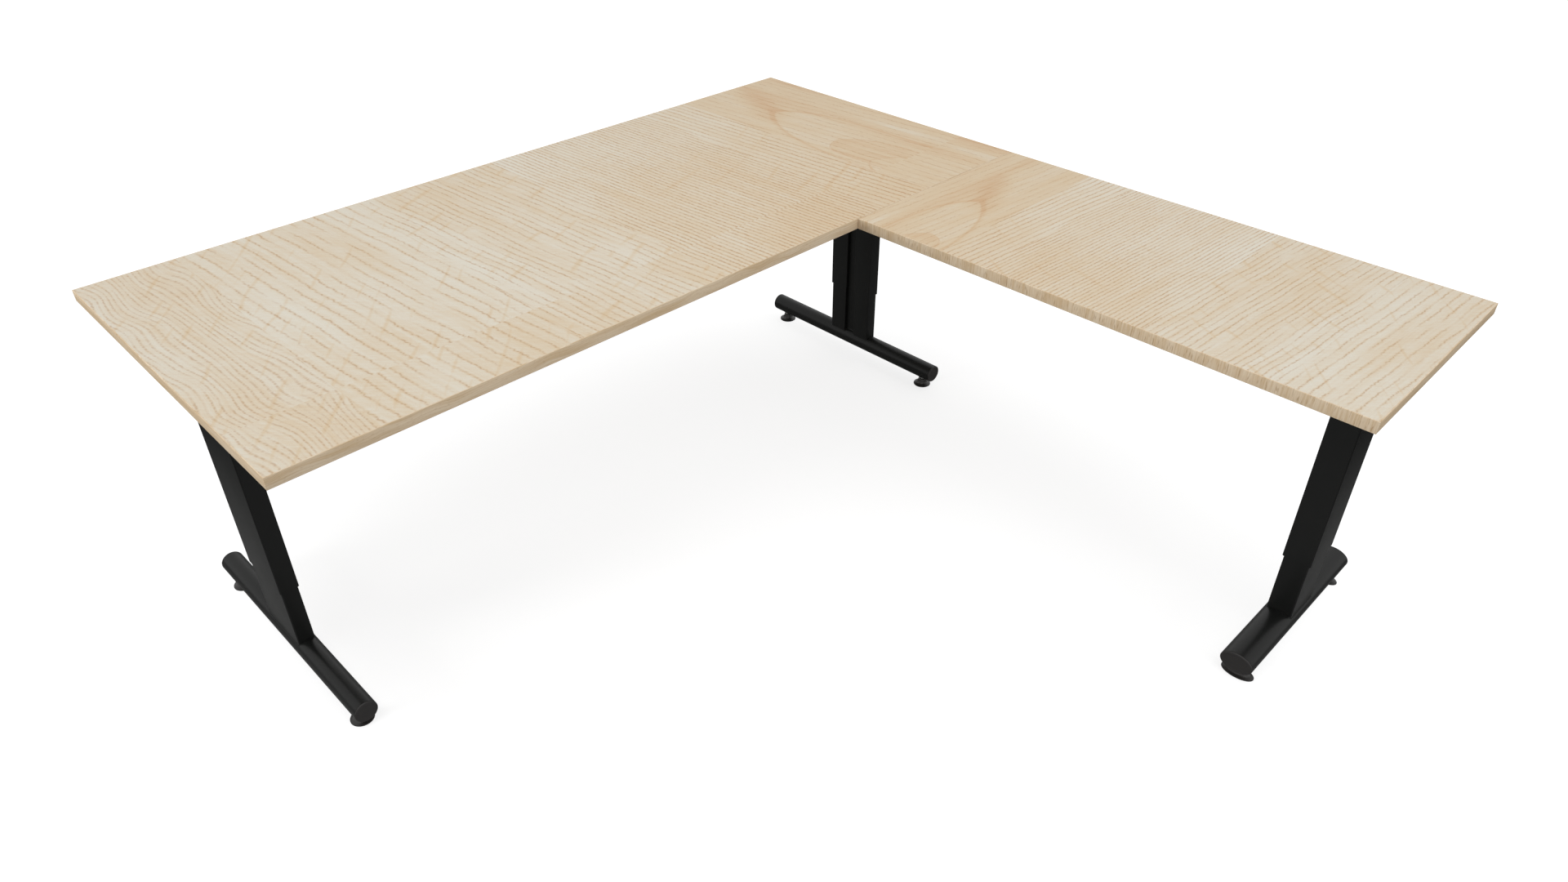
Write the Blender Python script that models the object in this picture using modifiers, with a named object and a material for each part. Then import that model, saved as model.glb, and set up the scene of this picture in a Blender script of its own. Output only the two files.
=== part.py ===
"""Corner desk: a main top and a return top in one L shape, carried by three telescopic T-legs.

Units are metres, +Z is up and the floor is z = 0. The desk is laid out from the main top's front-left
corner, +X along the main top and +Y from the user's edge to the back edge. The return top reaches from
the right end of the user's edge towards -Y. An empty then moves that corner so that the world origin is
the centre of the desk's footprint on the floor.
"""

import math

import bmesh
import bpy
from mathutils import Matrix

# Tops
HEIGHT = 0.750
TOP_THICKNESS = 0.025
MAIN_LENGTH = 2.000
MAIN_DEPTH = 0.900
RETURN_WIDTH = 0.600
RETURN_LENGTH = 1.180
BAND_THICKNESS = 0.002
SEAM_GAP = 0.0005
GAP = 0.0003

# Frame under the tops
UNDERSIDE = HEIGHT - TOP_THICKNESS
BAR_HEIGHT = 0.030
ARM_WIDTH = 0.060
RAIL_WIDTH = 0.040
BAR_WALL = 0.002
ARM_LENGTH_MAIN = 0.800
ARM_LENGTH_RETURN = 0.480
MAIN_RAIL_INSET = 0.150
RETURN_RAILS_X = (1.500, 1.840)
SEAM_PLATES_X = (1.600, 1.740)
SEAM_PLATE_SIZE = (0.060, 0.100, 0.003)

# Legs, shared sizes
FOOT_AXIS_HEIGHT = 0.050
FOOT_RADIUS = 0.025
FOOT_WALL = 0.002
CAP_FLANGE = 0.003
CAP_PLUG_DEPTH = 0.012
SLEEVE_END_HEIGHT = 0.219
SLEEVE_WALL = 0.0015
COLUMN_WALL = 0.002
COLUMN_TOP_HEIGHT = 0.560
CHANNEL_DEPTH = 0.011
CHANNEL_MARGIN = 0.0033
SECTION_CORNER = 0.003
GUIDE_THICKNESS = 0.015
SLIDE_CLEARANCE = 0.0003

# Clamping screws in the sleeves
SCREW_AXIS_HEIGHT = 0.260
SCREW_HEAD_RADIUS = 0.007
SCREW_HEAD_HEIGHT = 0.005
SCREW_HEAD_CHAMFER = 0.0015
SCREW_SHANK_RADIUS = 0.004

# Levelling glides, shared sizes
GLIDE_INSET = 0.040
PAD_RADIUS = 0.025
PAD_RIM = 0.003
PAD_RIM_CHAMFER = 0.0008
PAD_NECK_RADIUS = 0.014
PAD_NECK_HEIGHT = 0.0075
PAD_BOSS_RADIUS = 0.010
PAD_BOSS_FOOT = 0.012
PAD_BOSS_HEIGHT = 0.0195
STUD_RADIUS = 0.005
STUD_FOOT_HEIGHT = 0.010
STUD_TOP_HEIGHT = 0.062
NUT_FLANGE_RADIUS = 0.011
NUT_FLANGE_THICKNESS = 0.002
NUT_BODY_RADIUS = 0.0075
NUT_TOP_HEIGHT = 0.040

# Mesh quality
FOOT_SEGMENTS = 32
COPE_SEGMENTS = 48
PAD_SEGMENTS = 28
NUT_SEGMENTS = 20
NUT_HOLE_SEGMENTS = 24
SCREW_SEGMENTS = 16
CUTTER_SPARE = 0.020
SMALLEST_CORNER = 0.0005
WELD_DISTANCE = 0.00001
SMOOTH_BELOW = math.radians(35)

# Each leg's empty stands at its column's centre. Its local +X faces the side with the cable channel and
# its local Y runs along the foot. "stretch" widens the foot and glides across and shortens them along.
LEGS = {
    "left": {
        "x": 0.0735,
        "y": 0.446,
        "turn": 0,
        "sleeve": (0.0410, 0.1530),
        "column": (0.0365, 0.1475),
        "channel": 0.030,
        "foot_length": 0.656,
        "stretch": (1.0, 1.0),
        "ends": {"front": -1, "rear": 1},
        "screw_side": 1,
    },
    "middle": {
        "x": 1.9153,
        "y": 0.450,
        "turn": 180,
        "sleeve": (0.0410, 0.1530),
        "column": (0.0365, 0.1475),
        "channel": 0.030,
        "foot_length": 0.656,
        "stretch": (1.0, 1.0),
        "ends": {"front": 1, "rear": -1},
        "screw_side": -1,
    },
    "return": {
        "x": 1.6985,
        "y": -1.0716,
        "turn": 90,
        "sleeve": (0.0625, 0.1130),
        "column": (0.0560, 0.1080),
        "channel": 0.022,
        "foot_length": 0.494,
        "stretch": (1.46, 0.80),
        "ends": {"left": 1, "right": -1},
        "screw_side": -1,
    },
}

MATERIALS = {
    "oak_decor": ((0.72, 0.63, 0.50), 0.55, 0.0),
    "oak_edge_band": ((0.66, 0.56, 0.43), 0.5, 0.0),
    "black_powder_coat": ((0.012, 0.012, 0.012), 0.35, 0.0),
    "black_plastic": ((0.03, 0.028, 0.027), 0.45, 0.0),
    "zinc_steel": ((0.55, 0.56, 0.58), 0.35, 1.0),
}


def clear_scene():
    for obj in list(bpy.data.objects):
        bpy.data.objects.remove(obj, do_unlink=True)


def new_collection(name):
    collection = bpy.data.collections.new(name)
    bpy.context.scene.collection.children.link(collection)
    return collection


def make_materials():
    made = {}
    for name, (colour, roughness, metallic) in MATERIALS.items():
        material = bpy.data.materials.new(name)
        material.use_nodes = True
        shader = material.node_tree.nodes["Principled BSDF"]
        shader.inputs["Base Color"].default_value = (*colour, 1.0)
        shader.inputs["Roughness"].default_value = roughness
        shader.inputs["Metallic"].default_value = metallic
        made[name] = material
    return made


def add_empty(name, location, turn=0, parent=None):
    empty = bpy.data.objects.new(name, None)
    empty.location = location
    empty.rotation_euler.z = math.radians(turn)
    empty.parent = parent
    PARTS.objects.link(empty)
    return empty


def add_object(name, mesh, location, material=None, parent=None):
    """A part when it has a material, otherwise a cutter that only Booleans use."""
    obj = bpy.data.objects.new(name, mesh)
    obj.location = location
    obj.parent = parent
    if material:
        mesh.materials.clear()
        mesh.materials.append(PAINTS[material])
        PARTS.objects.link(obj)
    else:
        obj.hide_render = True
        obj.display_type = "WIRE"
        CUTTERS.objects.link(obj)
    return obj


def cut(obj, cutter):
    modifier = obj.modifiers.new("cut_" + cutter.name, "BOOLEAN")
    modifier.operation = "DIFFERENCE"
    modifier.solver = "EXACT"
    modifier.object = cutter


def shade_round(mesh):
    mesh.shade_smooth()
    mesh.set_sharp_from_angle(angle=SMOOTH_BELOW)


def box_mesh(name, size):
    mesh = bpy.data.meshes.new(name)
    shape = bmesh.new()
    bmesh.ops.create_cube(shape, size=1.0)
    bmesh.ops.scale(shape, vec=size, verts=shape.verts)
    shape.to_mesh(mesh)
    shape.free()
    return mesh


def cylinder_mesh(name, radius, length, segments, axis="Z"):
    mesh = bpy.data.meshes.new(name)
    shape = bmesh.new()
    turn = {"Z": Matrix(), "Y": Matrix.Rotation(math.pi / 2, 4, "X")}[axis]
    bmesh.ops.create_cone(
        shape,
        cap_ends=True,
        segments=segments,
        radius1=radius,
        radius2=radius,
        depth=length,
        matrix=turn,
    )
    shape.to_mesh(mesh)
    shape.free()
    shade_round(mesh)
    return mesh


def mesh_from(guide, name):
    """The evaluated shape of a guide object as a welded mesh; the guide is removed."""
    PARTS.objects.link(guide)
    graph = bpy.context.evaluated_depsgraph_get()
    mesh = bpy.data.meshes.new_from_object(guide.evaluated_get(graph))
    mesh.name = name
    data = guide.data
    bpy.data.objects.remove(guide, do_unlink=True)
    (bpy.data.curves if isinstance(data, bpy.types.Curve) else bpy.data.meshes).remove(data)
    shape = bmesh.new()
    shape.from_mesh(mesh)
    bmesh.ops.remove_doubles(shape, verts=shape.verts, dist=WELD_DISTANCE)
    bmesh.ops.recalc_face_normals(shape, faces=shape.faces)
    shape.to_mesh(mesh)
    shape.free()
    shade_round(mesh)
    return mesh


def extruded_mesh(name, loops, length, along="Z"):
    """A flat outline, with holes where a further loop lies inside the first, extruded about its middle."""
    curve = bpy.data.curves.new(name + "_outline", "CURVE")
    curve.dimensions = "2D"
    curve.fill_mode = "BOTH"
    curve.extrude = length / 2
    for loop in loops:
        spline = curve.splines.new("POLY")
        spline.points.add(len(loop) - 1)
        for point, (x, y) in zip(spline.points, loop):
            point.co = (x, y, 0.0, 1.0)
        spline.use_cyclic_u = True
    mesh = mesh_from(bpy.data.objects.new(name + "_guide", curve), name)
    if along == "Y":
        mesh.transform(Matrix.Rotation(math.pi / 2, 4, "X"))
    if along == "X":
        mesh.transform(Matrix.Rotation(math.pi / 2, 4, "Z") @ Matrix.Rotation(math.pi / 2, 4, "X"))
    return mesh


def turned_mesh(name, profile, steps):
    """A solid of revolution from (radius, height) points that run down its outer side."""
    line = bpy.data.meshes.new(name + "_profile")
    shape = bmesh.new()
    verts = [shape.verts.new((radius, 0.0, height)) for radius, height in profile]
    for first, second in zip(verts, verts[1:]):
        shape.edges.new((first, second))
    shape.to_mesh(line)
    shape.free()
    guide = bpy.data.objects.new(name + "_guide", line)
    screw = guide.modifiers.new("turn", "SCREW")
    screw.steps = steps
    screw.render_steps = steps
    screw.use_merge_vertices = True
    screw.merge_threshold = WELD_DISTANCE
    return mesh_from(guide, name)


def rectangle(width, height):
    half_x = width / 2
    half_y = height / 2
    return [(-half_x, -half_y), (half_x, -half_y), (half_x, half_y), (-half_x, half_y)]


def ellipse(radius_x, radius_y, count):
    angles = [2 * math.pi * (i + 0.5) / count for i in range(count)]
    return [(radius_x * math.cos(a), radius_y * math.sin(a)) for a in angles]


def leg_section(thickness, width, channel_width, channel_depth, corner, inset=0.0):
    """The leg tube's outline: a rounded rectangle with a cable channel in the middle of its +X face.

    A positive inset gives the line that far inside the wall, all the way round the channel.
    """
    half_x = thickness / 2 - inset
    half_y = width / 2 - inset
    half_channel = channel_width / 2 + inset
    floor = thickness / 2 - channel_depth - inset
    radius = max(corner - inset, SMALLEST_CORNER)
    points = []
    for sign_x, sign_y, start in ((-1, -1, 180), (1, -1, 270), (1, 1, 0), (-1, 1, 90)):
        if (sign_x, sign_y) == (1, 1):
            points += [(half_x, -half_channel), (floor, -half_channel)]
            points += [(floor, half_channel), (half_x, half_channel)]
        for step in (0, 45, 90):
            angle = math.radians(start + step)
            centre_x = sign_x * (half_x - radius)
            centre_y = sign_y * (half_y - radius)
            points.append((centre_x + radius * math.cos(angle), centre_y + radius * math.sin(angle)))
    return points


def add_bar(name, length, width, along, centre):
    """A rectangular steel tube of the frame, open at both ends."""
    loops = [
        rectangle(width, BAR_HEIGHT),
        rectangle(width - 2 * BAR_WALL, BAR_HEIGHT - 2 * BAR_WALL),
    ]
    mesh = extruded_mesh(name, loops, length, along)
    return add_object(name, mesh, centre, "black_powder_coat", DESK)


def add_board(name, length_x, length_y, corner):
    """A chipboard top with an edge band on each side; the two bands of the longer sides run full length."""
    inset = BAND_THICKNESS + GAP
    x, y = corner
    middle = (x + length_x / 2, y + length_y / 2, HEIGHT - TOP_THICKNESS / 2)
    size = (length_x - 2 * inset, length_y - 2 * inset, TOP_THICKNESS)
    add_object(name, box_mesh(name, size), middle, "oak_decor", DESK)
    long_x = length_x > length_y
    run_x = length_x if long_x else length_x - 2 * inset
    run_y = length_y - 2 * inset if long_x else length_y
    reach_x = (length_x - BAND_THICKNESS) / 2
    reach_y = (length_y - BAND_THICKNESS) / 2
    sides = {
        "front": ((run_x, BAND_THICKNESS), (0, -reach_y)),
        "back": ((run_x, BAND_THICKNESS), (0, reach_y)),
        "left": ((BAND_THICKNESS, run_y), (-reach_x, 0)),
        "right": ((BAND_THICKNESS, run_y), (reach_x, 0)),
    }
    for side, ((size_x, size_y), (shift_x, shift_y)) in sides.items():
        band = f"{name}_edge_band_{side}"
        place = (middle[0] + shift_x, middle[1] + shift_y, middle[2])
        mesh = box_mesh(band, (size_x, size_y, TOP_THICKNESS))
        add_object(band, mesh, place, "oak_edge_band", DESK)


def add_tops():
    add_board("main_top", MAIN_LENGTH, MAIN_DEPTH, (0, 0))
    return_corner = (MAIN_LENGTH - RETURN_WIDTH, -RETURN_LENGTH)
    add_board("return_top", RETURN_WIDTH, RETURN_LENGTH - SEAM_GAP, return_corner)


def add_frame():
    """The support arm on each leg, the rails between the arms, and the plates that join the two tops."""
    level = UNDERSIDE - GAP - BAR_HEIGHT / 2
    left = LEGS["left"]
    middle = LEGS["middle"]
    end = LEGS["return"]
    add_bar("left_support_arm", ARM_LENGTH_MAIN, ARM_WIDTH, "Y", (left["x"], left["y"], level))
    add_bar("middle_support_arm", ARM_LENGTH_MAIN, ARM_WIDTH, "Y", (middle["x"], middle["y"], level))
    add_bar("return_support_arm", ARM_LENGTH_RETURN, ARM_WIDTH, "X", (end["x"], end["y"], level))
    rail_start = left["x"] + ARM_WIDTH / 2 + GAP
    rail_end = middle["x"] - ARM_WIDTH / 2 - GAP
    rail_middle = (rail_start + rail_end) / 2
    rail_length = rail_end - rail_start
    front_y = MAIN_RAIL_INSET
    rear_y = MAIN_DEPTH - MAIN_RAIL_INSET
    add_bar("front_rail", rail_length, RAIL_WIDTH, "X", (rail_middle, front_y, level))
    add_bar("rear_rail", rail_length, RAIL_WIDTH, "X", (rail_middle, rear_y, level))
    run_start = end["y"] + ARM_WIDTH / 2 + GAP
    run_end = front_y - RAIL_WIDTH / 2 - GAP
    run_middle = (run_start + run_end) / 2
    for side, x in zip(("left", "right"), RETURN_RAILS_X):
        add_bar(f"return_rail_{side}", run_end - run_start, RAIL_WIDTH, "Y", (x, run_middle, level))
    plate_z = UNDERSIDE - GAP - SEAM_PLATE_SIZE[2] / 2
    for side, x in zip(("left", "right"), SEAM_PLATES_X):
        mesh = box_mesh(f"seam_plate_{side}", SEAM_PLATE_SIZE)
        add_object(f"seam_plate_{side}", mesh, (x, 0, plate_z), "zinc_steel", DESK)


def add_sleeve(name, leg, upper):
    """The outer tube, welded under the support arm, with a clamping screw near its lower end."""
    thickness, width = leg["sleeve"]
    channel = leg["channel"]
    top = UNDERSIDE - GAP - BAR_HEIGHT - GAP
    length = top - SLEEVE_END_HEIGHT
    outer = leg_section(thickness, width, channel, CHANNEL_DEPTH, SECTION_CORNER)
    inner = leg_section(thickness, width, channel, CHANNEL_DEPTH, SECTION_CORNER, SLEEVE_WALL)
    node = f"{name}_outer_sleeve"
    mesh = extruded_mesh(node, [outer, inner], length)
    middle = (0, 0, SLEEVE_END_HEIGHT + length / 2)
    sleeve = add_object(node, mesh, middle, "black_powder_coat", upper)

    side = leg["screw_side"]
    face = side * width / 2
    hole_radius = SCREW_SHANK_RADIUS + GAP
    hole_mesh = cylinder_mesh(f"{name}_screw_hole", hole_radius, CUTTER_SPARE, SCREW_SEGMENTS, "Y")
    hole = add_object(f"{name}_screw_hole", hole_mesh, (0, face, SCREW_AXIS_HEIGHT), parent=upper)
    cut(sleeve, hole)
    column_clearance = (width - leg["column"][1]) / 2
    shank = column_clearance - GAP
    profile = [
        (0, SCREW_HEAD_HEIGHT),
        (SCREW_HEAD_RADIUS - SCREW_HEAD_CHAMFER, SCREW_HEAD_HEIGHT),
        (SCREW_HEAD_RADIUS, SCREW_HEAD_HEIGHT - SCREW_HEAD_CHAMFER),
        (SCREW_HEAD_RADIUS, GAP),
        (SCREW_SHANK_RADIUS, GAP),
        (SCREW_SHANK_RADIUS, -shank),
        (0, -shank),
    ]
    node = f"{name}_clamp_screw"
    mesh = turned_mesh(node, profile, SCREW_SEGMENTS)
    mesh.transform(Matrix.Rotation(-side * math.pi / 2, 4, "X"))
    add_object(node, mesh, (0, face, SCREW_AXIS_HEIGHT), "zinc_steel", upper)


def add_column(name, leg, lower):
    """The inner tube, coped over the foot tube and topped with a plastic guide that runs in the sleeve."""
    thickness, width = leg["column"]
    channel = leg["channel"] + 2 * CHANNEL_MARGIN
    foot_x = FOOT_RADIUS * leg["stretch"][0]
    bottom = FOOT_AXIS_HEIGHT
    length = COLUMN_TOP_HEIGHT - bottom
    outer = leg_section(thickness, width, channel, CHANNEL_DEPTH, SECTION_CORNER)
    inner = leg_section(thickness, width, channel, CHANNEL_DEPTH, SECTION_CORNER, COLUMN_WALL)
    node = f"{name}_inner_column"
    mesh = extruded_mesh(node, [outer, inner], length)
    column = add_object(node, mesh, (0, 0, bottom + length / 2), "black_powder_coat", lower)
    cope_outline = [ellipse(foot_x + GAP, FOOT_RADIUS + GAP, COPE_SEGMENTS)]
    cope_mesh = extruded_mesh(f"{name}_cope", cope_outline, width + CUTTER_SPARE, "Y")
    cope = add_object(f"{name}_cope", cope_mesh, (0, 0, FOOT_AXIS_HEIGHT), parent=lower)
    cut(column, cope)

    inside = SLEEVE_WALL + SLIDE_CLEARANCE
    sleeve_thickness, sleeve_width = leg["sleeve"]
    outline = leg_section(
        sleeve_thickness, sleeve_width, leg["channel"], CHANNEL_DEPTH, SECTION_CORNER, inside
    )
    node = f"{name}_column_guide"
    mesh = extruded_mesh(node, [outline], GUIDE_THICKNESS)
    middle = (0, 0, COLUMN_TOP_HEIGHT + GAP + GUIDE_THICKNESS / 2)
    add_object(node, mesh, middle, "black_plastic", lower)


def add_foot(name, leg, lower):
    """The foot tube along local Y, a cap in each end, and a threaded insert over each glide."""
    radius_x = FOOT_RADIUS * leg["stretch"][0]
    tube_length = leg["foot_length"] - 2 * CAP_FLANGE - 2 * GAP
    loops = [
        ellipse(radius_x, FOOT_RADIUS, FOOT_SEGMENTS),
        ellipse(radius_x - FOOT_WALL, FOOT_RADIUS - FOOT_WALL, FOOT_SEGMENTS),
    ]
    node = f"{name}_foot_tube"
    mesh = extruded_mesh(node, loops, tube_length, "Y")
    tube = add_object(node, mesh, (0, 0, FOOT_AXIS_HEIGHT), "black_powder_coat", lower)

    inner_x = radius_x - FOOT_WALL - GAP
    inner_z = FOOT_RADIUS - FOOT_WALL - GAP
    for end, sign in leg["ends"].items():
        node = f"{name}_foot_cap_{end}"
        flange = extruded_mesh(node, [ellipse(radius_x, FOOT_RADIUS, FOOT_SEGMENTS)], CAP_FLANGE, "Y")
        cap_y = sign * (leg["foot_length"] - CAP_FLANGE) / 2
        cap = add_object(node, flange, (0, cap_y, FOOT_AXIS_HEIGHT), "black_plastic", lower)
        plug_outline = [ellipse(inner_x, inner_z, FOOT_SEGMENTS)]
        plug_mesh = extruded_mesh(node + "_plug", plug_outline, CAP_PLUG_DEPTH, "Y")
        plug_y = cap_y - sign * CAP_PLUG_DEPTH / 2
        plug = add_object(node + "_plug", plug_mesh, (0, plug_y, FOOT_AXIS_HEIGHT), parent=lower)
        join = cap.modifiers.new("plug", "BOOLEAN")
        join.operation = "UNION"
        join.solver = "EXACT"
        join.object = plug

        hole = f"{name}_nut_hole_{end}"
        hole_mesh = cylinder_mesh(hole, NUT_BODY_RADIUS + GAP, CUTTER_SPARE, NUT_HOLE_SEGMENTS)
        hole_place = (0, sign * glide_reach(leg), FOOT_AXIS_HEIGHT - FOOT_RADIUS)
        cut(tube, add_object(hole, hole_mesh, hole_place, parent=lower))
        add_insert(f"{name}_glide_insert_{end}", sign * glide_reach(leg), lower)


def glide_reach(leg):
    """How far each glide's axis stands from the column's centre, along the foot."""
    return leg["foot_length"] / 2 - GLIDE_INSET * leg["stretch"][1]


def add_insert(node, y, lower):
    """A threaded insert pressed into the foot tube from below."""
    flange_top = FOOT_AXIS_HEIGHT - FOOT_RADIUS - GAP
    flange_bottom = flange_top - NUT_FLANGE_THICKNESS
    bore = STUD_RADIUS + GAP
    profile = [(bore, NUT_TOP_HEIGHT), (NUT_BODY_RADIUS, NUT_TOP_HEIGHT)]
    profile += [(NUT_BODY_RADIUS, flange_top), (NUT_FLANGE_RADIUS, flange_top)]
    profile += [(NUT_FLANGE_RADIUS, flange_bottom), (bore, flange_bottom), (bore, NUT_TOP_HEIGHT)]
    mesh = turned_mesh(node, profile, NUT_SEGMENTS)
    add_object(node, mesh, (0, y, 0), "zinc_steel", lower)


def add_glide(name, end, sign, leg, lower):
    """A levelling glide: a flared pad on the floor and the threaded stud that screws into the insert."""
    axis = add_empty(f"{name}_glide_{end}", (0, sign * glide_reach(leg), 0), parent=lower)
    profile = [
        (0, PAD_BOSS_HEIGHT),
        (PAD_BOSS_RADIUS, PAD_BOSS_HEIGHT),
        (PAD_BOSS_RADIUS, PAD_BOSS_FOOT),
        (PAD_NECK_RADIUS, PAD_NECK_HEIGHT),
        (PAD_RADIUS, PAD_RIM),
        (PAD_RADIUS, PAD_RIM_CHAMFER),
        (PAD_RADIUS - PAD_RIM_CHAMFER, 0),
        (0, 0),
    ]
    node = f"{name}_glide_pad_{end}"
    mesh = turned_mesh(node, profile, PAD_SEGMENTS)
    stretch_x, stretch_y = leg["stretch"]
    mesh.transform(Matrix.Diagonal((stretch_x, stretch_y, 1.0, 1.0)))
    pad = add_object(node, mesh, (0, 0, 0), "black_plastic", axis)
    socket_depth = 2 * (PAD_BOSS_HEIGHT - STUD_FOOT_HEIGHT + GAP)
    socket_mesh = cylinder_mesh(f"{node}_socket", STUD_RADIUS + GAP, socket_depth, NUT_SEGMENTS)
    cut(pad, add_object(f"{node}_socket", socket_mesh, (0, 0, PAD_BOSS_HEIGHT), parent=axis))

    node = f"{name}_glide_stud_{end}"
    length = STUD_TOP_HEIGHT - STUD_FOOT_HEIGHT
    mesh = cylinder_mesh(node, STUD_RADIUS, length, NUT_SEGMENTS)
    add_object(node, mesh, (0, 0, STUD_FOOT_HEIGHT + length / 2), "zinc_steel", axis)


def add_leg(name, leg):
    place = (leg["x"], leg["y"], 0)
    upper = add_empty(f"{name}_leg_upper", place, leg["turn"], DESK)
    lower = add_empty(f"{name}_leg_lower", place, leg["turn"], DESK)
    add_sleeve(name, leg, upper)
    add_column(name, leg, lower)
    add_foot(name, leg, lower)
    for end, sign in leg["ends"].items():
        add_glide(name, end, sign, leg, lower)


clear_scene()
PARTS = new_collection("corner_desk")
CUTTERS = new_collection("corner_desk_cutters")
PAINTS = make_materials()
DESK = add_empty("corner_desk_layout", (-MAIN_LENGTH / 2, (RETURN_LENGTH - MAIN_DEPTH) / 2, 0))
add_tops()
add_frame()
for leg_name, leg_sizes in LEGS.items():
    add_leg(leg_name, leg_sizes)
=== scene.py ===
"""The looks of a corner desk: two oak-decor tops on three black telescopic T-legs.

Units are metres and +Z is up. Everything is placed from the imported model's own boxes.
"""

import math

import bmesh
import bpy
from mathutils import Matrix, Vector


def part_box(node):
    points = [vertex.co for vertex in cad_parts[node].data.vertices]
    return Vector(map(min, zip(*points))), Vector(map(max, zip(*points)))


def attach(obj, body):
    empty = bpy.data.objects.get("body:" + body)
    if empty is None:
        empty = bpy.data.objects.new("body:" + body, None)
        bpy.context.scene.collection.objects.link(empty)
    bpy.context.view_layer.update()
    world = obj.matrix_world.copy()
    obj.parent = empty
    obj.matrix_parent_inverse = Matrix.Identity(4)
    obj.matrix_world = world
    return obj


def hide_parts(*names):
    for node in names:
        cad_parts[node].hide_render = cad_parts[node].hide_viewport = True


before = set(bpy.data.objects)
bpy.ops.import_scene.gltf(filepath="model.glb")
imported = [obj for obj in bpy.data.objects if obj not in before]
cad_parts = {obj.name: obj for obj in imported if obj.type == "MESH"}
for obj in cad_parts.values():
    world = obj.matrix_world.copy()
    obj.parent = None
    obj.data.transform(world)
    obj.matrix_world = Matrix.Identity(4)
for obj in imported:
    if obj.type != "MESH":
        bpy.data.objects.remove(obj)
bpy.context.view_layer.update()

WHITE = (1.0, 1.0, 1.0, 1.0)
BLACK = (0.0, 0.0, 0.0, 1.0)

# Camera
CAMERA_PLACE = (-1.3946, -1.4126, 1.7958)
CAMERA_AIM = (1.0, 1.0, -1.0)
CAMERA_LENS = 25.261
CAMERA_SENSOR = 36.0
CAMERA_RANGE = (0.05, 200.0)

# Studio. The floor's colour is a painted pool of light: grey inside the pool's first radius, where it shows
# the desk's shadow, and nearly black past the second, a painted falloff of light that throws little light
# back and darkens what the legs reflect. A glow makes it white to the camera all over.
FLOOR_REACH = 30.0
FLOOR_DROP = 0.0002
FLOOR_SHADE = 0.42
FLOOR_FAR_SHADE = 0.02
FLOOR_PAINTED_LIGHT_POOL = (0.8, 2.2)
FLOOR_GLOW = 1.15
WORLD_SEEN = 1.0
WORLD_LIGHT = 0.60
OVERHEAD_LAMP = ("overhead_softbox", (-0.5, -0.7, 4.5), 5.0, 87.0)
FILL_LAMPS = (
    ("front_fill", (0.4, -5.0, 0.9), 1.6, 64.0),
    ("left_fill", (-5.0, 1.9, 0.9), 1.6, 125.0),
)

# Tops
BAND_THICKNESS = 0.002
EDGE_ROUNDING = 0.001
EDGE_STEPS = 3
SEAM_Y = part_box("main_top_edge_band_front")[0].y
LEFT_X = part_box("main_top_edge_band_left")[0].x

# Smoothing: faces that meet more steeply than this many degrees keep a sharp edge
SHARP = 35
SHARP_SMALL = 30
SHARP_PAD = 40
SHARP_CAP = 50
SHARP_THREAD = 60

# Steelwork
SLEEVE_WALL = 0.0015
COLUMN_WALL = 0.002
CHANNEL_DEPTH = 0.011
CHANNEL_MARGIN = 0.0033
SECTION_CORNER = 0.003
MOUTH_CORNER = 0.0015
CHANNEL_CORNER = 0.0005
CORNER_STEPS = 6
SMALLEST_CORNER = 0.0003
BAR_WALL = 0.002
BAR_CORNER = 0.003
FOOT_WALL = 0.002
STEEL_EDGE = 0.0003
WELD_SIZE = 0.0014
SLIDE_CLEARANCE = 0.0003
FOOT_STEPS = 96
PAD_STEPS = 64
THREAD_STEPS = 24
THREAD_PITCH = 0.0015
THREAD_DEPTH = 0.0008
THREAD_ROWS_PER_TURN = 5
KNURLS = 30
INSERT_FLANGE = 0.0035
BORE_CENTRE = 0.004
BORE_REACH = 0.016
BORE_STEPS = 48
STUD_CLEARANCE = 0.0002
KNURL_DEPTH = 0.00035
SMALL_CHAMFER = 0.0004
SCREW_STEPS = 48
CLAMP_HEAD = 0.005
CLAMP_SHANK = 0.004
HEX_RADIUS = 0.0042
PLUG_DEPTH = 0.018
PLATE_CORNER = 0.006
PLATE_SCREW_AT = (0.30, 0.36)
# Screws: the head's radius and height, the shank's radius and length, and the socket's radius
BAR_SCREW = (0.0055, 0.0026, 0.0022, 0.0016, 0.0024)
PLATE_SCREW = (0.0042, 0.0016, 0.0020, 0.0010, 0.0020)

# Each leg: how far its channel side is turned from +X, the channel's width, and the names of its two ends.
LEGS = {
    "left": {"turn": 0, "channel": 0.030, "ends": ("front", "rear")},
    "middle": {"turn": 180, "channel": 0.030, "ends": ("front", "rear")},
    "return": {"turn": 90, "channel": 0.022, "ends": ("left", "right")},
}


# ---------------------------------------------------------------- values inside a material


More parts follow.
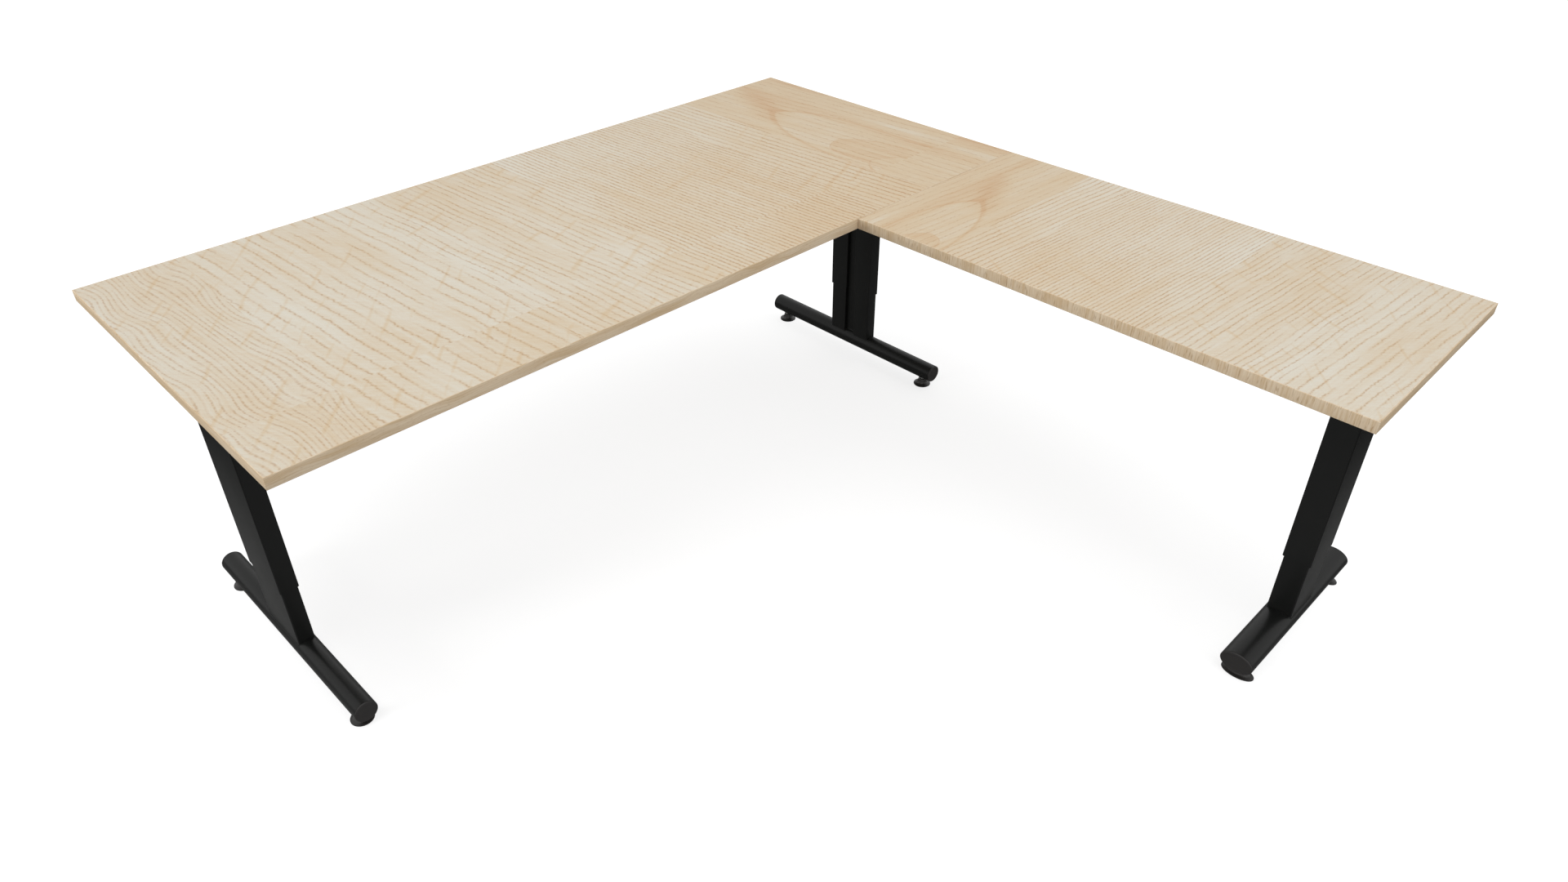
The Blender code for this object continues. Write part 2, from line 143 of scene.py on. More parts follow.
class Field:
    """A value in a material's node tree. Arithmetic on it adds the nodes that work it out."""

    def __init__(self, tree, socket):
        self.tree = tree
        self.socket = socket

    def feed(self, target, value):
        """Links a Field into the target socket, or sets a plain value on it."""
        if isinstance(value, Field):
            self.tree.links.new(value.socket, target)
        else:
            target.default_value = value

    def math(self, operation, *others):
        node = self.tree.nodes.new("ShaderNodeMath")
        node.operation = operation
        self.feed(node.inputs[0], self)
        for index, other in enumerate(others, 1):
            self.feed(node.inputs[index], other)
        return Field(self.tree, node.outputs[0])

    def __add__(self, other):
        return self.math("ADD", other)

    def __sub__(self, other):
        return self.math("SUBTRACT", other)

    def __mul__(self, other):
        return self.math("MULTIPLY", other)

    def __truediv__(self, other):
        return self.math("DIVIDE", other)

    def above(self, level):
        return self.math("GREATER_THAN", level)

    def below(self, level):
        return self.math("LESS_THAN", level)

    def least(self, other):
        return self.math("MINIMUM", other)

    def most(self, other):
        return self.math("MAXIMUM", other)

    def size(self):
        return self.math("ABSOLUTE")

    def whole(self):
        return self.math("FLOOR")

    def opposite(self):
        return self * -1.0 + 1.0

    def ramp(self, start, end):
        """Rises smoothly from 0 at start to 1 at end; end may be the lower of the two."""
        node = self.tree.nodes.new("ShaderNodeMapRange")
        node.interpolation_type = "SMOOTHSTEP"
        self.feed(node.inputs["Value"], self)
        node.inputs["From Min"].default_value = start
        node.inputs["From Max"].default_value = end
        return Field(self.tree, node.outputs["Result"])

    def bump_at(self, middle, half_width):
        """1 at the middle, falling smoothly to 0 at half_width on both sides."""
        return (self - middle).size().ramp(half_width, 0.0)


def noise(x, y, seed=0.0, detail=0.0):
    """Soft noise from about 0.2 to 0.8, one feature per unit of x and y."""
    tree = x.tree
    join = tree.nodes.new("ShaderNodeCombineXYZ")
    for socket, value in zip(join.inputs, (x, y, seed)):
        x.feed(socket, value)
    node = tree.nodes.new("ShaderNodeTexNoise")
    node.inputs["Scale"].default_value = 1.0
    node.inputs["Detail"].default_value = detail
    tree.links.new(join.outputs[0], node.inputs["Vector"])
    return Field(tree, node.outputs["Fac"])


def chance(x, y):
    """An unrelated value from 0 to 1 for each pair."""
    tree = x.tree
    join = tree.nodes.new("ShaderNodeCombineXYZ")
    x.feed(join.inputs[0], x)
    x.feed(join.inputs[1], y)
    node = tree.nodes.new("ShaderNodeTexWhiteNoise")
    node.noise_dimensions = "2D"
    tree.links.new(join.outputs[0], node.inputs["Vector"])
    return Field(tree, node.outputs["Value"])


def srgb(red, green, blue):
    """A display colour from 0 to 255 as the linear colour that materials take."""
    values = [v / 255 for v in (red, green, blue)]
    return (*[v / 12.92 if v <= 0.04045 else ((v + 0.055) / 1.055) ** 2.4 for v in values], 1.0)


def blend_colours(factor, first, second):
    """The first colour where factor is 0 and the second where it is 1."""
    tree = factor.tree
    node = tree.nodes.new("ShaderNodeMix")
    node.data_type = "RGBA"
    factor.feed(node.inputs["Factor"], factor)
    factor.feed(node.inputs[6], first)
    factor.feed(node.inputs[7], second)
    return Field(tree, node.outputs[2])


def placed_material(name):
    """(material, shader, place): place is the point in the piece's own coordinates, in metres."""
    material = bpy.data.materials.new(name)
    material.use_nodes = True
    tree = material.node_tree
    coordinates = tree.nodes.new("ShaderNodeTexCoord")
    return material, tree.nodes["Principled BSDF"], Field(tree, coordinates.outputs["Object"])


def new_material(name):
    """(material, shader, x, y, z): as placed_material, with the point's three coordinates."""
    material, shader, place = placed_material(name)
    split = place.tree.nodes.new("ShaderNodeSeparateXYZ")
    place.tree.links.new(place.socket, split.inputs[0])
    axes = [Field(place.tree, socket) for socket in split.outputs]
    return material, shader, *axes


def solid_noise(place, scale, detail=2.0):
    """Soft noise in three dimensions, scale features to the metre."""
    node = place.tree.nodes.new("ShaderNodeTexNoise")
    node.inputs["Scale"].default_value = scale
    node.inputs["Detail"].default_value = detail
    place.tree.links.new(place.socket, node.inputs["Vector"])
    return Field(place.tree, node.outputs["Fac"])


def add_bump(shader, height, strength, distance):
    """Relief from a height field, distance metres deep at full strength."""
    tree = height.tree
    node = tree.nodes.new("ShaderNodeBump")
    node.inputs["Strength"].default_value = strength
    node.inputs["Distance"].default_value = distance
    tree.links.new(height.socket, node.inputs["Height"])
    tree.links.new(node.outputs["Normal"], shader.inputs["Normal"])


# ---------------------------------------------------------------- oak decor

# On the decor, in millimetres from its front-left corner: where its planks meet, and the joint of its repeat
ZONE_EDGES = (205.0, 995.0, 1650.0)
TILE_JOINT = 163.0
TILE_SHIFT = 250.0
FLECK_SPACING = 58.0
OAK_PALE = srgb(217, 211, 197)
OAK_TAN = srgb(208, 186, 153)
OAK_FLECK = srgb(198, 162, 122)
OAK_PORE = srgb(172, 134, 100)


def arch(u, v, tip, left, right):
    """(line, inside) of one pointed growth-ring arch. left and right are (reach, rise) of its limbs."""
    side = (u - tip[0]).above(0.0)
    reach = side * (right[0] - left[0]) + left[0]
    rise = side * (right[1] - left[1]) + left[1]
    down = v * -1.0 + tip[1]
    limb = reach * ((down / rise * -1.0).math("EXPONENT").opposite())
    distance = (u - tip[0]).size() - limb
    started = down.ramp(-4.0, 4.0)
    line = distance.size().ramp(6.0, 0.5) * started
    inside = distance.ramp(4.0, -12.0) * started
    return line, inside


def pore_rows(u, v, seed, spacing, zones):
    """(rows, pores, tone): soft growth-ring rows along the grain, the short pores in them, wider streaks."""
    is_first, is_third, is_last = zones
    wander = (noise(u / 130.0, v / 150.0, seed + 1.0) - 0.5) * (is_first * 40.0 - is_third * 5.0 + 12.0)
    row_u = u + v * 0.07 + wander
    phase = row_u / spacing
    row = phase.whole()
    jitter = (noise(row * 3.7, v / 9.0, seed + 2.0) - 0.5) * spacing * 0.24
    aside = ((phase - row - 0.5) * spacing + jitter).size()
    run = v / (is_last * 9.0 - is_third * 0.8 + 5.4)
    dashes = noise(row * 5.3, run, seed + 3.0).ramp(0.42, 0.60)
    fading = noise(row * 2.1, v / 90.0, seed + 4.0).ramp(0.18, 0.60).most(is_third * 0.65)
    row_strength = is_third * 0.9 - is_first * 0.45 - is_last * 0.45 + 1.0
    rows = (aside / (spacing * 0.16 + 1.6)).ramp(1.0, 0.1) * fading * row_strength
    strength = is_third * 0.1 - is_first * 0.2 - is_last * 0.4 + 1.2
    pores = (aside / (is_third * 0.6 + 3.0)).ramp(1.0, 0.1) * (dashes * 0.75 + 0.25) * fading * strength
    broad = noise(row_u / 30.0, v / 420.0, seed + 5.0, 2.0)
    narrow = noise(row_u / 6.0, v / 150.0, seed + 6.0, 2.0)
    return rows, pores, (broad - 0.5) * (is_third * -0.5 + 1.2) + (narrow - 0.5) * 0.8


def ray_flecks(u, v, seed, zone, is_third):
    """Soft curved strokes that rise to the right, steep in the first planks and long in the third."""
    far = (u - ZONE_EDGES[1]).most(0.0)
    curve = u.least(620.0) * 1.15 + (u - 620.0).most(0.0).least(375.0) * 0.5
    curve = curve + far * 0.12 + far * far * 0.00034
    drift = (noise(u / 150.0, v / 110.0, seed + 7.0) - 0.5) * 30.0
    lane = (v - curve + drift + zone * 37.0) / FLECK_SPACING
    stroke = lane.whole()
    shift = (chance(stroke, zone) - 0.5) * 26.0
    aside = ((lane - stroke - 0.5) * FLECK_SPACING + shift).size()
    along = u / (is_third * 110.0 + 60.0) + stroke * 9.7
    presence = noise(along, stroke * 3.3, seed + 8.0).ramp(0.44, 0.74)
    lower = is_third * v.ramp(300.0, 620.0) * -0.6 + 1.0
    return (aside / (presence * 8.0 + 3.0)).ramp(1.0, 0.0) * presence * lower


def flat_sawn_plank(u, v, upper):
    """(lines, tone) of the last plank: nested arches, a darker heart and long streaks on its right."""
    outer_line, outer = arch(u, v, (1786.0, 667.0), (145.0, 130.0), (92.0, 85.0))
    inner_line, inner = arch(u, v, (1742.0, 386.0), (66.0, 18.0), (84.0, 62.0))
    small_line, small = arch(u, v, (1695.0, 222.0), (60.0, 35.0), (90.0, 32.0))
    ragged = noise(u / 7.0, v / 14.0, 3.3, 1.0).ramp(0.30, 0.62) * 0.7 + 0.3
    lines = (outer_line * 0.8 + inner_line * 1.6 + small_line * 1.6).least(1.2) * ragged * upper
    heart = (inner * (v.ramp(300.0, 390.0) * 0.22 + 0.30) - outer * 0.14 - small * 0.16) * upper
    leaning = u - v * 0.35
    rim = arch(u, v, (1786.0, 690.0), (150.0, 130.0), (98.0, 85.0))[1] - outer
    crown = leaning.bump_at(1545.0, 75.0) * v.ramp(560.0, 680.0) * v.ramp(930.0, 760.0) * 0.50
    right = u.bump_at(1872.0, 46.0) * 0.30 - u.bump_at(1925.0, 30.0) * v.ramp(500.0, 330.0) * 0.24
    right = right + u.ramp(1940.0, 1992.0) * 0.30
    return lines, heart + (crown + rim * 0.30) * upper + right


def oak_figure(u, v):
    """(colour, pores) of the decor at u mm across the planks and v mm along their grain."""
    past = [u.above(edge) for edge in ZONE_EDGES]
    zones = (past[0].opposite(), past[1] - past[2], past[2])
    zone = past[0] + past[1] + past[2]
    below = v.below(TILE_JOINT)
    v = v + below * TILE_SHIFT
    seed = zone * 11.3 + below * 5.7
    spacing = past[0] * 15.5 - u.above(620.0) * 9.0 - past[1] * 4.8 + u.above(1493.0) * 6.8
    spacing = spacing + past[2] * 6.0 + 11.5
    rows, pores, tone = pore_rows(u, v, seed, spacing, zones)
    flecks = ray_flecks(u, v, seed, zone, zones[1]) * zones[2].opposite()
    lines, sawn = flat_sawn_plank(u, v, below.opposite())
    specks = noise(u / 1.7, v / 6.0, 9.1, 1.0).ramp(0.58, 0.76)

    warmth = u.ramp(560.0, 1500.0) * 0.27 + (sawn + 0.24) * zones[2] + below * 0.10 - 0.02
    warmth = warmth + zones[1] * (v.ramp(750.0, 150.0) * 0.34 - 0.30 + u.ramp(1000.0, 1600.0) * 0.10)
    warmth = warmth + noise(u / 240.0, v / 320.0, seed + 9.0) * 0.5 - 0.25
    hatch = noise((u + v) / 6.0, (u - v) / 40.0, 4.4, 1.0) - 0.5
    level = tone * 0.62 + warmth + hatch * 0.5 + rows * 0.32 + flecks * 0.36 - 0.06
    colour = blend_colours(level.ramp(-0.55, 0.65), OAK_PALE, OAK_TAN)
    colour = blend_colours(level.ramp(0.45, 1.35), colour, OAK_FLECK)
    colour = blend_colours(lines * 0.55, colour, OAK_FLECK)
    colour = blend_colours(specks * 0.14 + pores * 0.44, colour, OAK_PORE)
    return colour, pores + specks * 0.3


def oak_top_material(name, place_u, place_v):
    """place_u and place_v turn millimetres from the main top's front-left corner into the decor's own."""
    material, shader, x, y, _ = new_material(name)
    across = (x - LEFT_X) * 1000.0
    along = (y - SEAM_Y) * 1000.0
    colour, pores = oak_figure(place_u(across, along), place_v(across, along))
    tree = material.node_tree
    tree.links.new(colour.socket, shader.inputs["Base Color"])
    tree.links.new((pores * 0.12 + 0.48).socket, shader.inputs["Roughness"])
    shader.inputs["Specular IOR Level"].default_value = 0.4
    add_bump(shader, pores * -1.0, 0.25, 0.0001)
    return material


BAND_PALE = srgb(220, 202, 176)
BAND_TAN = srgb(202, 176, 140)
BAND_DARK = srgb(172, 142, 106)


def oak_band_material(name, along_y, upright):
    """A strip of the same decor: its grain runs along the edge, or upright across it."""
    material, shader, x, y, z = new_material(name)
    length = (y if along_y else x) * 1000.0
    height = z * 1000.0
    if upright:
        streaks = noise(length / 3.2, height / 60.0, 2.0, 2.0)
        broad = noise(length / 28.0, height / 90.0, 5.0, 1.0)
        pores = noise(length / 2.6, height / 22.0, 8.0, 1.0).ramp(0.56, 0.72)
    else:
        bend = (noise(length / 70.0, height / 40.0, 1.0) - 0.5) * 14.0
        streaks = noise(length / 120.0, (height + bend) / 2.2, 2.0, 2.0)
        broad = noise(length / 160.0, (height + bend) / 12.0, 5.0, 1.0)
        pores = noise(length / 9.0, (height + bend) / 1.1, 8.0, 1.0).ramp(0.58, 0.74)
    tone = (streaks - 0.5) * 1.8 + (broad - 0.5) * 1.2 + 0.5
    colour = blend_colours(tone.ramp(0.0, 1.0), BAND_PALE, BAND_TAN)
    colour = blend_colours(pores * (0.75 if upright else 0.45), colour, BAND_DARK)
    tree = material.node_tree
    tree.links.new(colour.socket, shader.inputs["Base Color"])
    tree.links.new((pores * 0.1 + 0.42).socket, shader.inputs["Roughness"])
    add_bump(shader, pores * -1.0, 0.2, 0.0001)
    return material


# ---------------------------------------------------------------- metal and plastic

PAINT_DARK = (0.0064, 0.0067, 0.0063, 1.0)
PAINT_LIGHT = (0.0088, 0.0091, 0.0086, 1.0)
CAP_DARK = (0.0104, 0.0093, 0.0087, 1.0)
CAP_LIGHT = (0.0150, 0.0135, 0.0127, 1.0)
PLASTIC_DARK = (0.0130, 0.0118, 0.0111, 1.0)
PLASTIC_LIGHT = (0.0195, 0.0178, 0.0167, 1.0)
ZINC_BLUE = (0.52, 0.54, 0.58, 1.0)
ZINC_YELLOW = (0.62, 0.60, 0.52, 1.0)


def powder_coat_material():
    """Black powder coat: a fine orange peel that blurs reflections, with slightly uneven gloss."""
    material, shader, place = placed_material("black_powder_coat_satin")
    tree = material.node_tree
    peel = solid_noise(place, 900.0, 2.0)
    unevenness = solid_noise(place, 14.0, 3.0)
    colour = blend_colours(unevenness, PAINT_DARK, PAINT_LIGHT)
    tree.links.new(colour.socket, shader.inputs["Base Color"])
    tree.links.new((unevenness * 0.08 + 0.30).socket, shader.inputs["Roughness"])
    shader.inputs["Specular IOR Level"].default_value = 0.22
    add_bump(shader, peel, 0.05, 0.00004)
    return material


def moulded_plastic_material(name, dark, light, roughness):
    """Moulded plastic with a fine eroded grain."""
    material, shader, place = placed_material(name)
    tree = material.node_tree
    grain = tree.nodes.new("ShaderNodeTexVoronoi")
    grain.inputs["Scale"].default_value = 1400.0
    tree.links.new(place.socket, grain.inputs["Vector"])
    unevenness = solid_noise(place, 60.0)
    colour = blend_colours(unevenness, dark, light)
    tree.links.new(colour.socket, shader.inputs["Base Color"])
    tree.links.new((unevenness * 0.1 + roughness).socket, shader.inputs["Roughness"])
    add_bump(shader, Field(tree, grain.outputs["Distance"]), 0.15, 0.0001)
    return material


def zinc_material():
    """Zinc plating: bright steel with a faint blue and yellow bloom and fine scratches."""
    material, shader, place = placed_material("zinc_plated_steel")
    tree = material.node_tree
    tint = solid_noise(place, 90.0, 3.0)
    fine = solid_noise(place, 1500.0)
    colour = blend_colours(tint, ZINC_BLUE, ZINC_YELLOW)
    tree.links.new(colour.socket, shader.inputs["Base Color"])
    tree.links.new((fine * 0.15 + 0.26).socket, shader.inputs["Roughness"])
    shader.inputs["Metallic"].default_value = 1.0
    add_bump(shader, fine, 0.1, 0.00005)
    return material


# ---------------------------------------------------------------- shapes


def new_piece(name, body, material, stands_for, shape, matrix=None, sharp=SHARP):
    """Turns a bmesh into a finished piece that rides on a body and stands for its CAD nodes."""
    mesh = bpy.data.meshes.new(name)
    bmesh.ops.recalc_face_normals(shape, faces=shape.faces)
    shape.to_mesh(mesh)
    shape.free()
    if matrix:
        mesh.transform(matrix)
    mesh.shade_smooth()
    mesh.set_sharp_from_angle(angle=math.radians(sharp))
    mesh.materials.append(material)
    piece = bpy.data.objects.new(name, mesh)
    bpy.context.scene.collection.objects.link(piece)
    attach(piece, body)
    if stands_for:
        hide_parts(*stands_for)
    return piece


def add_box(shape, lowest, highest):
    """Adds a box to the bmesh."""
    made = bmesh.ops.create_cube(shape, size=1.0)["verts"]
    size = Vector(highest) - Vector(lowest)
    bmesh.ops.scale(shape, vec=size, verts=made)
    bmesh.ops.translate(shape, vec=(Vector(lowest) + Vector(highest)) / 2, verts=made)


def loft(shape, rings, closed=False):
    """Skins equal rings of points. Unless the rings close on each other, both end rings are capped."""
    rows = [[shape.verts.new(point) for point in ring] for ring in rings]
    pairs = list(zip(rows, rows[1:]))
    if closed:
        pairs.append((rows[-1], rows[0]))
    for first, second in pairs:
        count = len(first)
        for i in range(count):
            j = (i + 1) % count
            shape.faces.new((first[i], first[j], second[j], second[i]))
    if not closed:
        shape.faces.new(rows[0][::-1])
        shape.faces.new(rows[-1])


def filleted(corners, steps=CORNER_STEPS):
    """A closed outline of (x, y, radius) corners as points, each corner turned into an arc."""
    points = []
    for index, (x, y, radius) in enumerate(corners):
        here = Vector((x, y))
        before = Vector(corners[index - 1][:2])
        after = Vector(corners[(index + 1) % len(corners)][:2])
        back = (before - here).normalized()
        ahead = (after - here).normalized()
        centre = here + (back + ahead) * radius
        for step in range(steps + 1):
            angle = math.pi / 2 * step / steps
            points.append(centre - ahead * radius * math.cos(angle) - back * radius * math.sin(angle))
    return [(p.x, p.y) for p in points]


def leg_outline(thickness, width, channel, inset=0.0):
    """The leg tube's section: a rounded rectangle with a cable channel in its +X side."""
    half_x = thickness / 2 - inset
    half_y = width / 2 - inset
    mouth = channel / 2 + inset
    floor = thickness / 2 - CHANNEL_DEPTH - inset
    outer = max(SECTION_CORNER - inset, SMALLEST_CORNER)
    lip = max(MOUTH_CORNER - inset, SMALLEST_CORNER)
    inner = max(CHANNEL_CORNER + inset, SMALLEST_CORNER)
    return filleted(
        [
            (-half_x, -half_y, outer),
            (half_x, -half_y, outer),
            (half_x, -mouth, lip),
            (floor, -mouth, inner),
            (floor, mouth, inner),
            (half_x, mouth, lip),
            (half_x, half_y, outer),
            (-half_x, half_y, outer),
        ]
    )


def box_outline(width, height, radius):
    """A rounded rectangle about the origin."""
    corners = ((-1, -1), (1, -1), (1, 1), (-1, 1))
    return filleted([(side_x * width / 2, side_y * height / 2, radius) for side_x, side_y in corners])


def oval(radius_x, radius_y, steps):
    """An ellipse about the origin."""
    angles = [2 * math.pi * i / steps for i in range(steps)]
    return [(radius_x * math.cos(a), radius_y * math.sin(a)) for a in angles]


# ---------------------------------------------------------------- tops


def add_top(name, material, band_materials):
    """A board and its four edge bands. The bands of the longer sides run full length."""
    lowest = Vector(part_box(f"{name}_edge_band_left")[0])
    lowest.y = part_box(f"{name}_edge_band_front")[0].y
    highest = Vector(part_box(f"{name}_edge_band_right")[1])
    highest.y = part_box(f"{name}_edge_band_back")[1].y
    inset = Vector((BAND_THICKNESS, BAND_THICKNESS, 0))
    shape = bmesh.new()
    add_box(shape, lowest + inset, highest - inset)
    new_piece(f"{name}_board", "desk_frame", material, [name], shape)
    for side, axis, sign in (("front", 1, -1), ("back", 1, 1), ("left", 0, -1), ("right", 0, 1)):
        node = f"{name}_edge_band_{side}"
        low, high = (Vector(corner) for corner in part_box(node))
        full_length = high[1 - axis] - low[1 - axis] > (highest - lowest)[1 - axis] - BAND_THICKNESS
        if not full_length:
            low[1 - axis] = lowest[1 - axis] + BAND_THICKNESS
            high[1 - axis] = highest[1 - axis] - BAND_THICKNESS
        shape = bmesh.new()
        add_box(shape, low, high)
        face = (high if sign > 0 else low)[axis]
        outer = [v for v in shape.verts if abs(v.co[axis] - face) < SMALLEST_CORNER]
        edges = [e for e in shape.edges if all(v in outer for v in e.verts)]
        if not full_length:
            edges = [e for e in edges if abs(e.verts[0].co.z - e.verts[1].co.z) < SMALLEST_CORNER]
        bmesh.ops.bevel(
            shape, geom=edges, offset=EDGE_ROUNDING, segments=EDGE_STEPS, profile=0.5, affect="EDGES"
        )
        new_piece(f"{name}_band_{side}", "desk_frame", band_materials[side], [node], shape)


# ---------------------------------------------------------------- steelwork


def leg_middle(name):
    """The middle of the leg's column."""
    low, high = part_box(f"{name}_inner_column")
    return (low + high) / 2


def leg_matrix(name):
    """Stands at the column's centre on the floor, with +X on the channel's side."""
    middle = leg_middle(name)
    turn = math.radians(LEGS[name]["turn"])
    return Matrix.Translation((middle.x, middle.y, 0)) @ Matrix.Rotation(turn, 4, "Z")


def local_size(name, node):
    """(thickness, width) of a node in its leg's own axes."""
    low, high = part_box(node)
    size = high - low
    return (size.y, size.x) if LEGS[name]["turn"] == 90 else (size.x, size.y)


def between(outline, inner):
    """The outline midway between two equal ones."""
    return [((a + c) / 2, (b + d) / 2) for (a, b), (c, d) in zip(outline, inner)]


def tube_rings(outline, inner, bottom, top):
    """The rings of an upright tube wall whose rims are slightly broken."""
    middle = between(outline, inner)
    rings = (
        (outline, bottom + STEEL_EDGE),
        (outline, top - STEEL_EDGE),
        (middle, top),
        (inner, top - STEEL_EDGE),
        (inner, bottom + STEEL_EDGE),
        (middle, bottom),
    )
    return [[(x, y, z) for x, y in ring] for ring, z in rings]


def add_sleeve(name, paint):
    """The outer tube that hangs under the top."""
    node = f"{name}_outer_sleeve"
    low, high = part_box(node)
    thickness, width = local_size(name, node)
    channel = LEGS[name]["channel"]
    outline = leg_outline(thickness, width, channel)
    inner = leg_outline(thickness, width, channel, SLEEVE_WALL)
    shape = bmesh.new()
    loft(shape, tube_rings(outline, inner, low.z, high.z), closed=True)
    place = leg_matrix(name)
    new_piece(f"{name}_sleeve_tube", "desk_frame", paint, [node], shape, place)


def foot_surface(name):
    """A function that says how high the top of the foot tube is at x from its axis."""
    node = f"{name}_foot_tube"
    low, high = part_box(node)
    radius_x = local_size(name, node)[0] / 2
    radius_z = (high.z - low.z) / 2
    axis_height = (high.z + low.z) / 2

    def height(x):
        return axis_height + radius_z * math.sqrt(max(0.0, 1 - (x / radius_x) ** 2))

    return height


def add_column(name, paint):
    """The inner tube, cut at its lower end to the curve of the foot tube that it stands on."""
    node = f"{name}_inner_column"
    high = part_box(node)[1]
    thickness, width = local_size(name, node)
    channel = LEGS[name]["channel"] + 2 * CHANNEL_MARGIN
    outline = leg_outline(thickness, width, channel)
    inner = leg_outline(thickness, width, channel, COLUMN_WALL)
    height = foot_surface(name)
    rings = [
        [(x, y, height(x) + STEEL_EDGE) for x, y in outline],
        [(x, y, high.z - STEEL_EDGE) for x, y in outline],
        [(x, y, high.z) for x, y in between(outline, inner)],
        [(x, y, high.z - STEEL_EDGE) for x, y in inner],
        [(x, y, height(x) + STEEL_EDGE) for x, y in inner],
    ]
    shape = bmesh.new()
    loft(shape, rings, closed=True)
    place = leg_matrix(name)
    new_piece(f"{name}_column_tube", f"{name}_foot", paint, [node], shape, place)


def bore(shape, centres, radius, reach):
    """Cuts an upright round hole through the bmesh at each centre."""
    cutters = bmesh.new()
    for centre in centres:
        place = Matrix.Translation(centre)
        bmesh.ops.create_cone(
            cutters,
            cap_ends=True,
            segments=BORE_STEPS,
            radius1=radius,
            radius2=radius,
            depth=reach,
            matrix=place,
        )
    parts = []
    for name, source in (("bored", shape), ("cutters", cutters)):
        mesh = bpy.data.meshes.new(name)
        source.to_mesh(mesh)
        part = bpy.data.objects.new(name, mesh)
        bpy.context.scene.collection.objects.link(part)
        parts.append(part)
    cutters.free()
    cut = parts[0].modifiers.new("bore", "BOOLEAN")
    cut.operation = "DIFFERENCE"
    cut.solver = "EXACT"
    cut.object = parts[1]
    evaluated = parts[0].evaluated_get(bpy.context.evaluated_depsgraph_get())
    shape.clear()
    shape.from_mesh(evaluated.to_mesh())
    evaluated.to_mesh_clear()
    for part in parts:
        mesh = part.data
        bpy.data.objects.remove(part)
        bpy.data.meshes.remove(mesh)


def add_foot(name, paint):
    """The foot tube, with a round hole in its underside for each glide's insert."""
    node = f"{name}_foot_tube"
    low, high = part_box(node)
    radius_x = local_size(name, node)[0] / 2
    radius_z = (high.z - low.z) / 2
    half_length = local_size(name, node)[1] / 2
    outline = oval(radius_x, radius_z, FOOT_STEPS)
    inner = oval(radius_x - FOOT_WALL, radius_z - FOOT_WALL, FOOT_STEPS)
    shape = bmesh.new()
    loft(shape, tube_rings(outline, inner, -half_length, half_length), closed=True)
    lying = Matrix.Translation((0, 0, (high.z + low.z) / 2)) @ Matrix.Rotation(math.pi / 2, 4, "X")
    bmesh.ops.recalc_face_normals(shape, faces=shape.faces)
    shape.transform(leg_matrix(name) @ lying)
    inserts = [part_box(f"{name}_glide_insert_{end}") for end in LEGS[name]["ends"]]
    centres = [((a.x + b.x) / 2, (a.y + b.y) / 2, low.z + BORE_CENTRE) for a, b in inserts]
    hole = (inserts[0][1].x - inserts[0][0].x) / 2 - INSERT_FLANGE + SLIDE_CLEARANCE
    bore(shape, centres, hole, BORE_REACH)
    new_piece(f"{name}_foot_bar", f"{name}_foot", paint, [node], shape)


def turned(shape, profile, steps, stretch=(1.0, 1.0)):
    """Turns (radius, height) points about Z into a closed body. stretch makes it oval."""
    rings = []
    for radius, height in profile:
        outline = oval(radius * stretch[0], radius * stretch[1], steps)
        rings.append([(x, y, height) for x, y in outline])
    loft(shape, rings)


def add_foot_cap(name, end, plastic):
    """A moulded cap: its face is slightly sunk inside a rounded rim, and its plug has two soft ribs."""
    node = f"{name}_foot_cap_{end}"
    low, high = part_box(node)
    middle = (low + high) / 2
    radius = (high.z - low.z) / 2
    stretch = local_size(name, node)[0] / (high.z - low.z)
    depth = local_size(name, node)[1]
    plug = radius - FOOT_WALL - SLIDE_CLEARANCE
    face = depth / 2
    profile = [
        (radius * 0.10, face - 0.0009),
        (radius * 0.55, face - 0.0008),
        (radius * 0.80, face - 0.0006),
        (radius * 0.87, face - 0.0001),
        (radius * 0.92, face),
        (radius * 0.96, face - 0.0005),
        (radius * 0.99, face - 0.0012),
        (radius, face - 0.0022),
        (radius, face - 0.0029),
        (radius - 0.0002, face - 0.0030),
        (plug - 0.0004, face - 0.0032),
        (plug - 0.0003, face - 0.0050),
        (plug, face - 0.0060),
        (plug - 0.0003, face - 0.0070),
        (plug - 0.0003, face - 0.0085),
        (plug, face - 0.0095),
        (plug - 0.0006, face - 0.0115),
        (plug - 0.0014, -face),
        (plug - 0.0030, -face),
        (plug - 0.0034, face - 0.0035),
        (radius * 0.2, face - 0.0033),
    ]
    shape = bmesh.new()
    turned(shape, profile, FOOT_STEPS, (stretch, 1.0))
    turn = Matrix.Rotation(math.radians(LEGS[name]["turn"]), 4, "Z")
    towards = Vector((0, math.copysign(1.0, (turn.inverted() @ (middle - leg_middle(name))).y), 0))
    lying = towards.to_track_quat("Z", "Y").to_matrix().to_4x4()
    if abs((lying @ Vector((1, 0, 0))).z) > 0.5:
        lying = lying @ Matrix.Rotation(math.pi / 2, 4, "Z")
    place = Matrix.Translation(middle) @ turn @ lying
    new_piece(f"{name}_cap_{end}", f"{name}_foot", plastic, [node], shape, place, SHARP_CAP)


